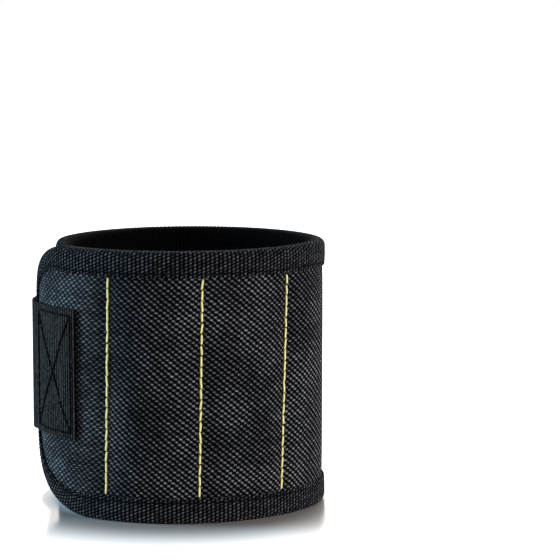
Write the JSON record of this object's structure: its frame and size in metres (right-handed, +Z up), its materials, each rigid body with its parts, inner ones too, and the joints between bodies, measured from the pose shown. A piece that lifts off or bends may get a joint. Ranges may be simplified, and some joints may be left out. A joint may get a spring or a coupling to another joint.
{
  "type": "magnetic wristband",
  "caption": "Padded cloth wristband with magnets sewn inside to hold small steel hardware, closed to a loop by a hook-and-loop strap.",
  "frame": {"origin": "middle of the overall box on the floor under the standing band", "axes": "+Z up, along the wearer's arm; +X to the right of the picture, across the loop's long way; +Y away from the viewer"},
  "size_m": [0.099, 0.0878, 0.089],
  "materials": {
    "shell_cloth": "coarse plain weave, slight sheen",
    "foam": "closed-cell foam",
    "lining_mesh": "knitted spacer mesh, matt",
    "binding_tape": "fine ribbed tape",
    "magnet_plating": "nickel plating",
    "line_thread": "twisted thread",
    "seam_thread": "twisted thread",
    "strap_webbing": "ribbed webbing",
    "hook_tape": "hook tape",
    "loop_tape": "brushed loop tape"
  },
  "bodies": {
    "front_panel": {"shell_front": "shell_cloth", "foam_front": "foam", "lining_front": "lining_mesh", "binding_top_front": "binding_tape", "binding_bottom_front": "binding_tape", "magnet_1_1": "magnet_plating", "magnet_1_2": "magnet_plating", "magnet_1_3": "magnet_plating", "magnet_2_1": "magnet_plating", "magnet_2_2": "magnet_plating", "magnet_2_3": "magnet_plating", "magnet_3_1": "magnet_plating", "magnet_3_2": "magnet_plating", "magnet_3_3": "magnet_plating", "stitch_line_1": "line_thread", "stitch_line_2": "line_thread", "stitch_line_3": "line_thread", "stitch_line_4": "line_thread"},
    "closing_flap": {"shell_flap": "shell_cloth", "foam_flap": "foam", "lining_flap": "lining_mesh", "binding_flap": "binding_tape", "strap_root": "strap_webbing", "strap_box_stitch": "seam_thread"},
    "back_panel": {"shell_back": "shell_cloth", "foam_back": "foam", "lining_back": "lining_mesh", "binding_back": "binding_tape", "magnet_4_1": "magnet_plating", "magnet_4_2": "magnet_plating", "magnet_4_3": "magnet_plating", "magnet_5_1": "magnet_plating", "magnet_5_2": "magnet_plating", "magnet_5_3": "magnet_plating", "stitch_line_5": "line_thread", "stitch_line_6": "line_thread", "loop_patch": "loop_tape"},
    "strap": {"strap_tail": "strap_webbing"},
    "strap_tip": {"strap_tip": "strap_webbing", "hook_patch": "hook_tape", "hook_stitch": "seam_thread"}
  },
  "joints": [
    {"name": "flap_fold", "type": "hinge", "parent": "front_panel", "child": "closing_flap", "pos_m": [-0.0239, -0.03788, 0.0445], "axis": [0, 0, 1], "range_deg": [0, 70]},
    {"name": "back_fold", "type": "hinge", "parent": "front_panel", "child": "back_panel", "pos_m": [0.0496, -0.00095, 0.0445], "axis": [0, 0, -1], "range_deg": [0, 35]},
    {"name": "strap_peel", "type": "hinge", "parent": "closing_flap", "child": "strap", "pos_m": [-0.04952, -0.00213, 0.0445], "axis": [0, 0, 1], "range_deg": [0, 110]},
    {"name": "strap_curl", "type": "hinge", "parent": "strap", "child": "strap_tip", "pos_m": [-0.03205, 0.0278, 0.0445], "axis": [0, 0, 1], "range_deg": [0, 55]}
  ],
  "couplings": [
    {"joint": "back_fold", "follows": "flap_fold", "ratio": 0.5}
  ]
}
